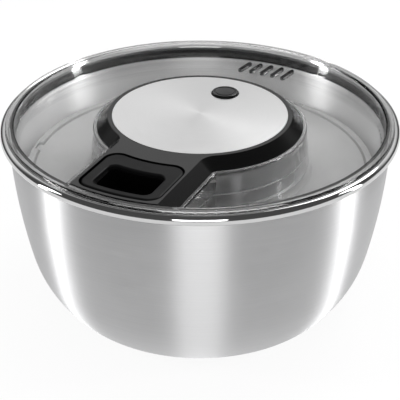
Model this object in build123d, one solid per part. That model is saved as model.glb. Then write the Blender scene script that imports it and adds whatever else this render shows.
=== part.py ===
from build123d import *
import os
from math import acos, asin, atan2, cos, degrees, pi, radians, sin, tan

# A salad spinner worked by a pull cord: steel bowl, strainer basket, clear lid with a black cover,
# and in the cover a cord drum that turns the basket through a one-way drive.
# Millimetres, +Z up, the origin is the middle of the bowl's flat base, the arm points along -Y.

# Bowl: driving sizes
rim_r = 133.0
steel_t = 1.0
roll_in = 2.25
roll_turn = 265.0
foot_bend = 16.0
foot_turn = 50.0
shoulder_bend = 80.0
shoulder_turn = 78.5
wall_bend = 430.0
pivot_r = 4.0
pivot_top = 19.0
pivot_flange_r = 12.0
pivot_flange_t = 1.5

# Clearances
gap = 0.3
fit = 0.05
slack = 0.7

# Lid: driving sizes
lid_t = 2.4
lid_inset = 3.8
flange_t = 1.8
floor_drop = 21.2
floor_rise = 10.0
lid_bend = 4.0
cup_flare = 2.5
slot_count = 5
slot_pitch = 4.3
slot_w = 3.2
slot_edge = 7.9
slot_run = 12.5
slot_turn = 89.0
slot_way = 70.0
rear_angle = 176.0

# Cover: driving sizes
flat_r = 61.8
bevel_w = 7.5
bevel_drop = 7.0
cover_skirt = 3.2
cover_wall = 7.5
web_t = 3.75
disc_r = 58.8
disc_t = 1.0
disc_gap = 0.4
arm_side = 2.3
arm_corner = 5.5
housing_depth = 34.2
base_t = 2.4
post_r = 4.0
post_turn = 45.0
screw_r = 1.5
screw_head_r = 3.2
screw_head_h = 2.0
screw_bite = 5.0

# Pull grip: driving sizes
pull_rise = 60.0
grip_behind = 6.3
arm_lip = 2.9
grip_half = 26.6
grip_corner = 8.5
grip_depth = 17.4
grip_wall = 1.8
grip_top_t = 2.8
grip_set = 0.4
frame_round = 1.4
groove = 0.8
well_wall = 1.8
pocket_behind = 12.9
pocket_before = 5.8
pocket_side = 7.6
pocket_corner = 5.0
pocket_ledge = 0.9
pocket_wall = 1.6
pocket_floor = 1.6

# Cord and drum: driving sizes
cord_r = 0.75
cord_pitch = 2.0
cord_turns = 2.8
cord_drop = 15.9
drum_core_r = 22.0
drum_core_h = 8.0
drum_flange_r = 29.5
drum_flange_t = 1.4
drum_roof = 1.5
clutch_r = 19.2
arbor_r = 6.5
arbor_h = 6.7
axle_r = 3.0
boss_r = 7.0
boss_h = 2.0
eye_r = 2.6
eye_flange_r = 3.6
eye_bore = 1.4
knot_r = 2.0

# Spiral spring and its case: driving sizes
case_r = 23.4
case_wall = 1.6
case_floor = 1.2
case_h = 8.8
band_t = 0.5
band_h = 6.0
band_turns = 5
band_gap = 0.8

# One-way drive: driving sizes
ratchet_teeth = 12
ratchet_r = 10.8
ratchet_root = 9.1
ratchet_h = 4.4
pawl_pivot_r = 15.2
pawl_pin_r = 1.5
pawl_boss_r = 2.9
pawl_h = 3.6
pawl_nose_ring = 10.1
pawl_tail_ring = 12.4
pawl_nose_turn = 39.3
pawl_nose_r = 0.7
pawl_tail_r = 0.9
pawl_swing = 10.5

# Drive hub, brake and drive plate: driving sizes
neck_r = 8.5
brake_r = 44.0
brake_t = 2.0
hub_r = 12.0
hub_flange_r = 20.0
hub_flange_t = 2.5
hub_hole_gap = 1.0
clip_r = 5.5
clip_t = 0.8
clip_room_r = 7.0
plate_gap = 1.5
plate_t = 2.2
plate_skirt = 6.0
plate_rib_count = 12
plate_rib_w = 1.6
plate_rib_h = 1.4
lug_count = 6
lug_w = 8.0
lug_reach = 3.6
lug_h = 3.4
lug_gap = 0.7
lug_turn = 15.0
plate_screw_count = 3
plate_screw_ring = 16.0
plate_screw_turn = 30.0

# Stop button: driving sizes
button_ring = 36.0
button_r = 9.3
button_gap = 0.5
button_proud = 1.4
button_wall = 1.5
button_skirt = 6.5
button_well_depth = 11.2
button_well_wall = 1.7
plunger_r = 3.9
plunger_gap = 0.4
pad_r = 5.0
pad_t = 1.8
press = 3.0
coil_r = 6.1
coil_wire = 0.45
coil_turns = 4.0

# Basket: driving sizes
basket_t = 2.0
basket_low = 13.0
basket_clear = 10.5
basket_taper = 15.0
basket_bend = 20.0
basket_rim_w = 2.6
basket_rim_t = 2.0
basket_over = 1.0
side_slots = 44
side_slot_w = 4.0
side_slot_foot = 23.0
side_slot_head = 13.5
base_slots = 24
base_slot_w = 4.0
base_slot_in = 34.0
base_slot_edge = 25.0
basket_boss_r = 9.5
basket_boss_low = 8.0
bush_r = 6.0
bush_roof = 1.8

# Derived levels and radii
foot_a = radians(foot_turn)
shoulder_a = radians(shoulder_turn)
foot_run = foot_bend * sin(foot_a)
shoulder_run = shoulder_bend * (sin(shoulder_a) - sin(foot_a))
wall_run = wall_bend * (1 - sin(shoulder_a))
neck_out = rim_r - steel_t - 2 * roll_in
neck_in = neck_out - steel_t
base_r = neck_out - foot_run - shoulder_run - wall_run
foot_z = foot_bend * (1 - cos(foot_a))
shoulder_z = shoulder_bend * (cos(foot_a) - cos(shoulder_a))
neck_z = foot_z + shoulder_z + wall_bend * cos(shoulder_a)
rim_top = neck_z + roll_in + steel_t

flange_low = rim_top + gap
top = flange_low + flange_t
flange_out = rim_r - lid_inset
lid_out = neck_in - slack
lid_in = lid_out - lid_t
slot_ring = lid_in - slot_edge
skirt_r = flat_r + bevel_w
arm_half = grip_half + arm_side
skirt_half = arm_half + bevel_w
cup_in = skirt_r + gap
cup_out = cup_in + lid_t
cup_foot = cup_out + cup_flare
cup_top = top - bevel_drop
cup_low = top - housing_depth
cover_low = cup_top - cover_skirt
web_low = top - disc_t - web_t
floor_slope = tan(radians(floor_rise))
floor_in = top - floor_drop
floor_t = lid_t / cos(radians(floor_rise))

pull_a = radians(pull_rise)
grip_low = top - grip_depth
well_in_low = grip_low - groove
well_low = well_in_low - well_wall
trough_in_low = well_low - gap
trough_low = trough_in_low - lid_t
arm_end_r = lid_in - gap
grip_back_r = skirt_r + grip_behind
grip_front_r = arm_end_r - arm_lip
pocket_back_r = grip_back_r + pocket_behind
pocket_front_r = grip_front_r - pocket_before
pocket_half = grip_half - pocket_side

case_low = web_low - case_h
drum_top = case_low - gap
core_top = drum_top - drum_flange_t
core_low = core_top - drum_core_h
drum_low = core_low - drum_flange_t
roof_low = core_top - drum_roof
ratchet_top = roof_low - slack
ratchet_low = ratchet_top - ratchet_h
pawl_z = ratchet_low + (ratchet_h - pawl_h) / 2
brake_top = drum_low - press + slack
brake_low = brake_top - brake_t
plate_top = cup_low - hub_hole_gap - hub_flange_t
plate_low = plate_top - plate_t
skirt_low = plate_top - plate_skirt
axle_top = top - disc_t - web_t / 2
axle_low = plate_top + gap
clip_z = axle_low + gap
cord_ring = drum_core_r + fit + cord_r
cord_low = core_low + gap + cord_r
cord_rise = cord_turns * cord_pitch
cord_high = cord_low + cord_rise
eye_z = top - cord_drop
lug_low = plate_top - lug_gap - lug_h
basket_high = plate_top + basket_over
basket_top_r = neck_in - basket_clear
basket_foot_r = basket_top_r - basket_taper
plate_r = basket_top_r - basket_t - plate_gap
side_slot_low = basket_low + side_slot_foot
side_slot_high = basket_high - side_slot_head
base_slot_out = basket_foot_r - base_slot_edge
button_x = button_ring * sin(radians(rear_angle))
button_y = -button_ring * cos(radians(rear_angle))
button_top = top + button_proud
button_low = top - button_skirt
button_roof = button_top - button_wall - 1.2 * gap
button_floor = top - button_well_depth
pad_low = brake_top + press + gap
pad_high = pad_low + pad_t
post_ring = cup_in - gap - post_r - button_wall

UP = (Align.CENTER, Align.CENTER, Align.MIN)


def rod(radius, low, high, x=0.0, y=0.0):
    """Upright cylinder between two levels."""
    return Pos(x, y, low) * Cylinder(radius, high - low, align=UP)


def tube(outer, inner, low, high, x=0.0, y=0.0):
    """Upright tube between two levels."""
    return rod(outer, low, high, x, y) - rod(inner, low - 1, high + 1, x, y)


def slab(width, depth, low, high, x=0.0, y=0.0):
    """Upright block between two levels."""
    return Pos(x, y, low) * Box(width, depth, high - low, align=UP)


def turned(points, bends=None):
    """Solid of revolution from radius and height pairs, with rounded corners where asked."""
    face = make_face(Polyline(*points, close=True))
    for (radius, height), bend in (bends or {}).items():
        corner = [v for v in face.vertices() if abs(v.X - radius) < 0.01 and abs(v.Y - height) < 0.01]
        face = fillet(corner, bend)
    return revolve(Plane.XZ * face, Axis.Z)


def around(count, start=0.0):
    """Evenly spaced turns about the upright axis."""
    return [Rot(0, 0, start + 360.0 * i / count) for i in range(count)]


def grown(shape, extra):
    """Solid list made into one shape by joining."""
    for piece in extra:
        shape = shape + piece
    return shape


def arc_frame(back_r, front_r, half, corner, more):
    """Plan of the grip family: two concentric arcs, two straight sides, rounded corners, grown by more."""
    plan = Circle(front_r + more) - Circle(back_r - more)
    strip = Pos(0, -rim_r) * Rectangle(2 * (half + more), 2 * rim_r)
    plan = plan & strip
    return fillet(plan.vertices(), corner + more)


def pulled(plan, low):
    """Body that stands upright at the back and follows the pull direction at the front."""
    face = Pos(0, 0, top) * plan
    depth = top - low
    upright = extrude(face, amount=depth, dir=(0, 0, -1))
    leaning = extrude(face, amount=depth / sin(pull_a), dir=(0, cos(pull_a), -sin(pull_a)))
    return upright & leaning


def grip_plan(more):
    return arc_frame(grip_back_r, grip_front_r, grip_half, grip_corner, more)


def pocket_plan(more):
    return arc_frame(pocket_back_r, pocket_front_r, pocket_half, pocket_corner, more)


def cover_plan(more, reach):
    """Plan of the cover: a circle with an arm of parallel sides and rounded inner corners."""
    arm = Pos(0, -reach / 2) * Rectangle(2 * (skirt_half + more), reach)
    plan = Circle(skirt_r + more) + arm
    inner = [v for v in plan.vertices() if v.Y > -(skirt_r + more)]
    inner = [v for v in inner if abs((v.X ** 2 + v.Y ** 2) ** 0.5 - skirt_r - more) < 0.01]
    return fillet(inner, arm_corner - more)


# Bowl: base, two bends and a long curved wall, then the rim rolled outwards
out_1 = JernArc((base_r, 0), (1, 0), foot_bend, foot_turn)
out_2 = JernArc(out_1 @ 1, out_1 % 1, shoulder_bend, shoulder_turn - foot_turn)
out_3 = JernArc(out_2 @ 1, out_2 % 1, wall_bend, 90 - shoulder_turn)
out_4 = JernArc(out_3 @ 1, (0, 1), roll_in, -roll_turn)
in_1 = JernArc((base_r, steel_t), (1, 0), foot_bend - steel_t, foot_turn)
in_2 = JernArc(in_1 @ 1, in_1 % 1, shoulder_bend - steel_t, shoulder_turn - foot_turn)
in_3 = JernArc(in_2 @ 1, in_2 % 1, wall_bend - steel_t, 90 - shoulder_turn)
in_4 = JernArc(in_3 @ 1, (0, 1), roll_in + steel_t, -roll_turn)
ends = [Line((0, 0), out_1 @ 0), Line((0, 0), (0, steel_t)), Line((0, steel_t), in_1 @ 0), Line(out_4 @ 1, in_4 @ 1)]
bowl_face = make_face([out_1, out_2, out_3, out_4, in_1, in_2, in_3, in_4] + ends)
bowl = revolve(Plane.XZ * bowl_face, Axis.Z)

# Pivot stud in the middle of the bowl
bowl_pivot = rod(pivot_flange_r, steel_t, steel_t + pivot_flange_t) + rod(pivot_r, steel_t, pivot_top)
bowl_pivot = chamfer(bowl_pivot.faces().sort_by(Axis.Z)[-1].edges(), pivot_r / 4)

# Lid: flange, wall and cone floor turned in one, then the housing cup and the arm trough
core_in_r = (cup_in + cup_out) / 2
floor_edge = floor_in + (lid_in - cup_foot) * floor_slope
floor_core = floor_in + (core_in_r - cup_foot) * floor_slope
floor_outer = floor_in + (lid_out - cup_foot) * floor_slope - floor_t
lid_points = [
    (flange_out, flange_low),
    (flange_out, top),
    (lid_in, top),
    (lid_in, floor_edge),
    (core_in_r, floor_core),
    (core_in_r, floor_core - floor_t),
    (lid_out, floor_outer),
    (lid_out, flange_low),
]
lid_bends = {
    (flange_out, top): flange_t / 2,
    (lid_in, top): flange_t * 0.7,
    (lid_in, floor_edge): lid_bend,
    (lid_out, floor_outer): lid_bend + lid_t / 2,
}
shell = turned(lid_points, lid_bends)
trough_out = extrude(Pos(0, 0, trough_low) * (cover_plan(gap + lid_t, rim_r) & Circle(lid_out)), cup_top - trough_low)
trough_in = extrude(Pos(0, 0, trough_in_low) * (cover_plan(gap, rim_r) & Circle(lid_in)), top - trough_in_low)
rim_edges = trough_out.faces().sort_by(Axis.Z)[-1].edges()
wall_h = cup_top - lid_t / 2 - cup_low
housing_wall = Pos(0, 0, cup_low) * Cone(cup_foot, cup_out - gap, wall_h, align=UP)
core = fillet(rim_edges, lid_t / 2) + housing_wall
lid = shell + core - trough_in - rod(cup_in, cup_low - 1, top)

# Drain slots at the back of the lid, side by side and all in one direction
slots = []
for i in range(slot_count):
    turn = slot_turn + slot_pitch * (i - (slot_count - 1) / 2)
    plan = SlotOverall(slot_run, slot_w)
    cut = extrude(Pos(0, 0, trough_low) * plan, top - trough_low)
    slots.append(Rot(0, 0, turn) * Pos(slot_ring, 0) * Rot(0, 0, slot_way - turn) * cut)
lid = lid - slots

# Cover: ring and arm with one bevel all round, hollow below, room for disc, grip and button
cover = extrude(Pos(0, 0, cover_low) * cover_plan(0, 2 * rim_r), top - cover_low)
cover_face = cover.faces().sort_by(Axis.Z)[-1]
cover = chamfer(cover_face.edges(), bevel_w, bevel_drop, reference=cover_face)
cover = cover & rod(arm_end_r, 0, 2 * top)
hollow = extrude(Pos(0, 0, cover_low) * offset(cover_plan(0, 2 * rim_r), -cover_wall), web_low - cover_low)
hollow = hollow & rod(arm_end_r - well_wall, 0, 2 * top)
well_guard = pulled(grip_plan(groove + well_wall), well_low)
cover = cover - hollow
cover = cover - rod(disc_r + disc_gap, top - disc_t, top + 1)
cover = cover - pulled(grip_plan(groove), well_in_low)
cover = cover + rod(boss_r, web_low - boss_h, web_low)
cover = cover - rod(axle_r, cover_low, axle_top)
well_r = button_r + button_gap + fit
cover = cover + rod(well_r + button_well_wall, button_floor - button_well_wall, web_low, button_x, button_y)
cover = cover - rod(well_r, button_floor, top + 1, button_x, button_y)
cover = cover - rod(plunger_r + plunger_gap, 0, top + 1, button_x, button_y)
post_spots = [Rot(0, 0, post_turn + 90 * i) * Pos(post_ring, 0) for i in range(4)]
screw_top = cover_low + screw_bite
cover = cover - [p * rod(screw_r, cover_low - 1, screw_top) for p in post_spots]

# Steel disc with the button hole
cover_disc = rod(disc_r, top - disc_t, top) - rod(button_r + button_gap, 0, 2 * top, button_x, button_y)

# Tub that holds the grip, clear of the cover's bevel
grip_well = well_guard & rod(2 * rim_r, 0, cover_low)
grip_well = grip_well - pulled(grip_plan(groove), well_in_low)
eye_path = Pos(0, 0, eye_z) * Rot(90, 0, 0)
grip_well = grip_well - eye_path * rod(eye_r, 0, grip_back_r + eye_r)

# Eye of the cord in the back wall of the tub
eye_end = grip_back_r - groove
eye_start = eye_end - well_wall
eye_rest = eye_start - gap
cord_eyelet = eye_path * (rod(eye_r, eye_rest, eye_end) + rod(eye_flange_r, eye_rest - 1, eye_rest))
cord_eyelet = cord_eyelet - eye_path * rod(eye_bore, eye_start - 2, eye_end + 1)

# Grip frame: a tray turned over, and the finger cup under its opening
frame_top = top - grip_set
grip_frame = pulled(grip_plan(0), grip_low) & rod(2 * rim_r, 0, frame_top)
frame_room = pulled(grip_plan(-grip_wall), grip_low - 1) & rod(2 * rim_r, 0, frame_top - grip_top_t)
grip_frame = grip_frame - frame_room - pulled(pocket_plan(0), grip_low - 1)
grip_frame = grip_frame - eye_path * rod(eye_bore + fit, grip_back_r - 1, grip_back_r + 2 * grip_wall)
frame_face = grip_frame.faces().filter_by(Axis.Z).sort_by(Axis.Z)[-1]
grip_frame = fillet(frame_face.edges(), frame_round)
cup_high = frame_top - grip_top_t
cup_floor = grip_low + gap + pocket_floor
grip_pocket = pulled(pocket_plan(pocket_wall), grip_low + gap) & rod(2 * rim_r, 0, cup_high)
grip_pocket = grip_pocket - pulled(pocket_plan(-pocket_ledge), cup_floor)

# Stop knot behind the grip's back wall
knot_y = -(grip_back_r + grip_wall + knot_r - fit)
cord_knot = Pos(0, knot_y, eye_z) * Sphere(knot_r)
knot_face = slab(4 * knot_r, knot_r, 0, top, 0, -(grip_back_r + grip_wall) + knot_r / 2)
cord_knot = cord_knot - knot_face

# Cord from the drum's edge through the eye into the knot
lead_turn = acos(cord_ring / eye_start)
lead_x = cord_ring * sin(lead_turn)
lead_y = -cord_ring * cos(lead_turn)
lead_start = Vector(lead_x, lead_y, cord_high)
lead_eye = Vector(0, -eye_start, eye_z)
lead_end = Vector(0, knot_y + knot_r, eye_z)
lead_in = lead_start + (lead_eye - lead_start).normalized() * 2 * gap
lead_path = Polyline(lead_in, lead_eye, lead_end)
lead_plane = Plane(lead_path @ 0, z_dir=lead_path % 0)
cord_lead = sweep(lead_plane * Circle(cord_r), path=lead_path, transition=Transition.ROUND)

# Turns of the cord on the drum, one unbroken tube
wind_path = Helix(cord_pitch, cord_rise, cord_ring, lefthand=True)
wind_plane = Plane(wind_path @ 0, z_dir=wind_path % 0)
winding = sweep(wind_plane * Circle(cord_r), path=wind_path, is_frenet=True)
wind_turn = degrees(atan2(lead_y, lead_x)) + 360 * cord_turns
cord_winding = Pos(0, 0, cord_low) * Rot(0, 0, wind_turn) * winding

# Drum with flanges, arbor, room for the one-way drive and two pawl pins
cord_drum = rod(drum_flange_r, drum_low, core_low) + rod(drum_core_r, core_low, core_top)
cord_drum = cord_drum + rod(drum_flange_r, core_top, drum_top) + rod(arbor_r, drum_top, drum_top + arbor_h)
cord_drum = cord_drum - rod(clutch_r, drum_low - 1, roof_low) - rod(axle_r + fit, drum_low, top)
pin_spots = [Rot(0, 0, 180 * i) * Pos(pawl_pivot_r, 0) for i in range(2)]
pins = [p * rod(pawl_pin_r, pawl_z - gap, roof_low) for p in pin_spots]
cord_drum = grown(cord_drum, pins)

# Spiral spring in half circles about two centres, and its case
band_step = (band_t + band_gap) / 2
band_start = arbor_r + gap + band_t
strip_out = []
strip_in = []
for i in range(2 * band_turns):
    middle = (0, 0) if i % 2 == 0 else (band_step, 0)
    radius = band_start + band_step * i
    begin = 0 if i % 2 == 0 else 180
    strip_out.append(CenterArc(middle, radius + band_t / 2, begin, 180))
    strip_in.append(CenterArc(middle, radius - band_t / 2, begin, 180))
strip_ends = [Line(strip_out[0] @ 0, strip_in[0] @ 0), Line(strip_out[-1] @ 1, strip_in[-1] @ 1)]
strip = make_face(strip_out + strip_in + strip_ends)
band_low = case_low + case_floor + slack
recoil_spring = extrude(Pos(0, 0, band_low) * strip, band_h)
spring_case = rod(case_r, case_low, web_low) - rod(case_r - case_wall, case_low + case_floor, top)
spring_case = spring_case - rod(arbor_r + 2 * slack, case_low - 1, top)

# Pawls: a boss on the pin, an arm clear of the wheel and a hooked nose, drawn back from the ratchet
nose_turn = radians(-pawl_nose_turn)
boss = Pos(pawl_pivot_r, 0) * Circle(pawl_boss_r)
tail = Pos(pawl_tail_ring * cos(nose_turn), pawl_tail_ring * sin(nose_turn)) * Circle(pawl_tail_r)
nose = Pos(pawl_nose_ring * cos(nose_turn), pawl_nose_ring * sin(nose_turn)) * Circle(pawl_nose_r)
pawl_plan = make_hull(boss.edges() + tail.edges()) - Circle(ratchet_r + gap)
pawl_plan = pawl_plan + make_hull(tail.edges() + nose.edges())
pawl_plan = pawl_plan - Pos(pawl_pivot_r, 0) * Circle(pawl_pin_r + fit)
drawn_back = Pos(pawl_pivot_r, 0) * Rot(0, 0, pawl_swing) * Pos(-pawl_pivot_r, 0)
pawl_1 = drawn_back * extrude(Pos(0, 0, pawl_z) * pawl_plan, pawl_h)
pawl_2 = Rot(0, 0, 180) * pawl_1

# Drive hub: ratchet wheel, neck, brake disc, tube through the base and a flange for the plate
step = 2 * pi / ratchet_teeth
face_turn = nose_turn - asin((pawl_nose_r + gap) / ratchet_r)
wheel_points = []
for i in range(ratchet_teeth):
    turn = face_turn + step * i
    wheel_points.append((ratchet_r * cos(turn), ratchet_r * sin(turn)))
    wheel_points.append((ratchet_root * cos(turn), ratchet_root * sin(turn)))
wheel = extrude(Pos(0, 0, ratchet_low) * make_face(Polyline(*wheel_points, close=True)), ratchet_h)
drive_hub = wheel + rod(neck_r, brake_top, ratchet_low) + rod(brake_r, brake_low, brake_top)
drive_hub = drive_hub + rod(hub_r, plate_top, brake_low) + rod(hub_flange_r, plate_top, plate_top + hub_flange_t)
drive_hub = drive_hub - rod(axle_r + fit, 0, top)
clip_room = clip_z + clip_t + gap
drive_hub = drive_hub - rod(clip_room_r, 0, clip_room)
plate_screw_spots = [r * Pos(plate_screw_ring, 0) for r in around(plate_screw_count, plate_screw_turn)]
drive_hub = drive_hub - [p * rod(screw_r, 0, plate_top + hub_flange_t - gap) for p in plate_screw_spots]

# Axle and the clip under the hub
axle = rod(axle_r, axle_low, axle_top)
axle = chamfer(axle.faces().sort_by(Axis.Z)[0].edges(), gap)
axle_clip = tube(clip_r, axle_r, clip_z, clip_z + clip_t)
axle_clip = axle_clip - slab(clip_r, 2 * axle_r, clip_z - 1, clip_z + 2, clip_r)

# Drive plate: smooth disc, skirt, radial ribs below and lugs for the basket
drive_plate = rod(plate_r, plate_low, plate_top) + tube(plate_r, plate_r - plate_t, skirt_low, plate_top)
rib_in = hub_flange_r + 2
rib_length = plate_r - plate_t - rib_in
rib = slab(rib_length, plate_rib_w, plate_low - plate_rib_h, plate_low, rib_in + rib_length / 2)
drive_plate = grown(drive_plate, [r * rib for r in around(plate_rib_count)])
lug = slab(2 * lug_reach, lug_w, lug_low, lug_low + lug_h, plate_r)
drive_plate = grown(drive_plate, [r * lug for r in around(lug_count, lug_turn)])
drive_plate = drive_plate - [p * rod(screw_r, 0, top) for p in plate_screw_spots]
plate_screw = rod(screw_r, plate_low, plate_top + hub_flange_t - 2 * gap)
plate_screw = plate_screw + rod(screw_head_r, plate_low - screw_head_h, plate_low)
plate_screws = Compound(children=[p * plate_screw for p in plate_screw_spots])

# Base of the housing with four posts, and the screws through them into the cover
housing_base = rod(skirt_r, cup_low, cup_low + base_t) - rod(hub_r + hub_hole_gap, 0, top)
housing_base = grown(housing_base, [p * rod(post_r, cup_low, cover_low) for p in post_spots])
head_room = cup_low + screw_head_h + gap
housing_base = housing_base - [p * rod(screw_r, 0, top) for p in post_spots]
housing_base = housing_base - [p * rod(screw_head_r + gap, 0, head_room) for p in post_spots]
screw = rod(screw_r, head_room, screw_top) + rod(screw_head_r, head_room - screw_head_h, head_room)
housing_screws = Compound(children=[p * screw for p in post_spots])

# Stop button, its stem, the brake pad and the coil spring
stop_button = rod(button_r, button_low, button_top, button_x, button_y)
stop_button = fillet(stop_button.faces().sort_by(Axis.Z)[-1].edges(), button_proud * 0.8)
stop_button = stop_button - rod(button_r - button_wall, 0, button_roof, button_x, button_y)
brake_plunger = rod(plunger_r, pad_high, button_roof, button_x, button_y)
brake_pad = rod(pad_r, pad_low, pad_high, button_x, button_y)
coil_low = button_floor + coil_wire + fit
coil_high = button_roof - coil_wire - fit
coil_pitch = (coil_high - coil_low) / coil_turns
coil_path = Helix(coil_pitch, coil_high - coil_low, coil_r)
coil_plane = Plane(coil_path @ 0, z_dir=coil_path % 0)
coil = sweep(coil_plane * Circle(coil_wire), path=coil_path, is_frenet=True)
button_spring = Pos(button_x, button_y, coil_low) * coil

# Basket: cone wall with a rounded foot, rim with notches, side and base slots, centre boss
wall_lean = (basket_top_r - basket_foot_r) / (basket_high - basket_low)
inner_foot = basket_foot_r + basket_t * wall_lean - basket_t
basket_points = [
    (0, basket_low),
    (basket_foot_r, basket_low),
    (basket_top_r - wall_lean * basket_rim_t, basket_high - basket_rim_t),
    (basket_top_r + basket_rim_w, basket_high - basket_rim_t),
    (basket_top_r + basket_rim_w, basket_high),
    (basket_top_r - basket_t, basket_high),
    (inner_foot, basket_low + basket_t),
    (0, basket_low + basket_t),
]
basket_bends = {
    (basket_foot_r, basket_low): basket_bend,
    (inner_foot, basket_low + basket_t): basket_bend - basket_t,
    (basket_top_r + basket_rim_w, basket_high): basket_rim_t / 3,
}
basket = turned(basket_points, basket_bends)
bush_high = pivot_top + gap + bush_roof
basket = basket + rod(basket_boss_r, basket_boss_low, bush_high + basket_t)
basket = basket - rod(bush_r, 0, bush_high)
side_slot = Rot(0, 90, 0) * extrude(SlotOverall(side_slot_high - side_slot_low, side_slot_w), rim_r - base_slot_out)
side_slot = Pos(base_slot_out, 0, (side_slot_low + side_slot_high) / 2) * side_slot
base_slot = extrude(SlotOverall(base_slot_out - base_slot_in, base_slot_w), basket_low + 2 * basket_t)
base_slot = Pos((base_slot_in + base_slot_out) / 2, 0) * base_slot
notch = slab(2 * (lug_reach + slack), lug_w + 2 * slack, lug_low - slack, basket_high + 1, plate_r)
cuts = [r * side_slot for r in around(side_slots)] + [r * base_slot for r in around(base_slots)]
basket = basket - cuts - [r * notch for r in around(lug_count, lug_turn)]
basket_bush = rod(bush_r, basket_boss_low, bush_high) - rod(pivot_r + fit, 0, pivot_top + gap)

# One file per node
nodes = {
    "bowl": bowl,
    "bowl_pivot": bowl_pivot,
    "lid": lid,
    "top_cover": cover,
    "cover_disc": cover_disc,
    "grip_well": grip_well,
    "cord_eyelet": cord_eyelet,
    "grip_frame": grip_frame,
    "grip_pocket": grip_pocket,
    "cord_knot": cord_knot,
    "cord_lead": cord_lead,
    "cord_winding": cord_winding,
    "cord_drum": cord_drum,
    "recoil_spring": recoil_spring,
    "spring_case": spring_case,
    "pawl_1": pawl_1,
    "pawl_2": pawl_2,
    "drive_hub": drive_hub,
    "axle": axle,
    "axle_clip": axle_clip,
    "drive_plate": drive_plate,
    "plate_screws": plate_screws,
    "housing_base": housing_base,
    "housing_screws": housing_screws,
    "stop_button": stop_button,
    "brake_plunger": brake_plunger,
    "brake_pad": brake_pad,
    "button_spring": button_spring,
    "basket": basket,
    "basket_bush": basket_bush,
}
os.makedirs("parts", exist_ok=True)
for name, shape in nodes.items():
    export_step(shape, "parts/" + name + ".step")

turns_gap = cord_pitch - 2 * cord_r
coil_gap = coil_pitch - 2 * coil_wire
print("least gap between the cord's turns", round(turns_gap, 2), "and the coil's turns", round(coil_gap, 2))
print("levels", {k: round(v, 2) for k, v in {
    "top": top, "rim_top": rim_top, "base_r": base_r, "cup_low": cup_low, "web_low": web_low,
    "brake_top": brake_top, "plate_top": plate_top, "grip_low": grip_low, "well_low": well_low,
    "trough_low": trough_low, "drum_low": drum_low, "eye_z": eye_z, "cord_high": cord_high,
    "button_floor": button_floor, "pad_low": pad_low, "cord_ring": cord_ring,
}.items()})
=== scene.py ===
from math import asin, atan2, cos, pi, radians, sin, sqrt

import bmesh
import bpy
import numpy as np
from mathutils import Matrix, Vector


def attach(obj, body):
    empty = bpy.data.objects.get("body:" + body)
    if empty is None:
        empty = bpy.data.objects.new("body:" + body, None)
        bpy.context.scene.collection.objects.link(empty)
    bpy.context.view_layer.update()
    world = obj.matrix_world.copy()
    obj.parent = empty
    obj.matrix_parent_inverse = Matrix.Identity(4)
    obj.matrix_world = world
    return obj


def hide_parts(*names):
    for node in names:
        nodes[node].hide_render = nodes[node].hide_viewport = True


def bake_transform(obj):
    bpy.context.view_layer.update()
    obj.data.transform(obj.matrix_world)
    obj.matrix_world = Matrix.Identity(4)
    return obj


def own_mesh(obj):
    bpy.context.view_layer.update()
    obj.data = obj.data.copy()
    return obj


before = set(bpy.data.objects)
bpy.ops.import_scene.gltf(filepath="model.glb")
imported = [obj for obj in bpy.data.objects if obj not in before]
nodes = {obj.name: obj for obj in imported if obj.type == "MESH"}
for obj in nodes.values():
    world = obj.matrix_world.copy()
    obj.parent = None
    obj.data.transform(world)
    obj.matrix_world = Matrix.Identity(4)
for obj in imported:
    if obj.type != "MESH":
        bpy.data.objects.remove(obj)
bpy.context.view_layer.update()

# A salad spinner with a pull cord: steel bowl, clear lid, black cover with a steel disc, grip and button.
# Metres, +Z up, the origin is the middle of the bowl's base, the arm of the cover points along -Y.

MM = 0.001
SMOOTH_ANGLE = radians(32)

# Bowl: lengths in millimetres, arcs as radius and turn in degrees, and points along each stretch of its line
RIM_R = 133.0
STEEL = 1.0
ROLL_IN = 2.25
ROLL_TURN = 265.0
FOOT = (16.0, 50.0)
SHOULDER = (80.0, 28.5)
WALL = (430.0, 11.5)
NECK_FROM = 118.5
FLAT_STEPS, FOOT_STEPS, SHOULDER_STEPS, WALL_STEPS, ROLL_STEPS = 10, 24, 36, 48, 48

# Zones of the bowl's steel, kept as the second value of its map
SATIN, LINING, NECK, POLISHED = 0.2, 0.35, 0.6, 0.9

# Lid: bore of the housing wall and the row of drain slots, in metres and radians; the lid's material frosts the
# bore and paints shade round the slots
CUP_BORE = 69.6 * MM
SLOT_WAY = radians(70.0)
SLOT_COUNT = 5
SLOT_PITCH = radians(4.3)
SLOT_FIRST = radians(10.4)
SLOT_RING = 115.5 * MM
SLOT_HALF = 1.6 * MM
SLOT_STRAIGHT = 4.65 * MM

# Cord, drum and eye, in millimetres
CORD_R = 0.75
CORD_RING = 22.8
CORD_PITCH = 2.0
CORD_TURNS = 2.8
CORD_TOP = 115.67
CORD_SAG = 0.25
BRAID = 3.2
EYE_Z = 116.37
EYE_START = 73.0
EYE_END = 74.8
STRETCH_FROM = 76.3
STRETCH = 1.0
JOIN_GAP = 0.3
KNOT_Y = -79.35
KNOT_R = 0.72
KNOT_SCALE = np.array([0.40, 0.55, 0.40])
PULL_LENGTH = 330.0
PULL = np.array([0.0, -0.5, 0.8660254])
LEAD_STEPS, EYE_STEPS, STRETCH_STEPS, KNOT_STEPS = 60, 8, 90, 5
WIND_STEPS, LOOP_STEPS = 420, 160

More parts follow.
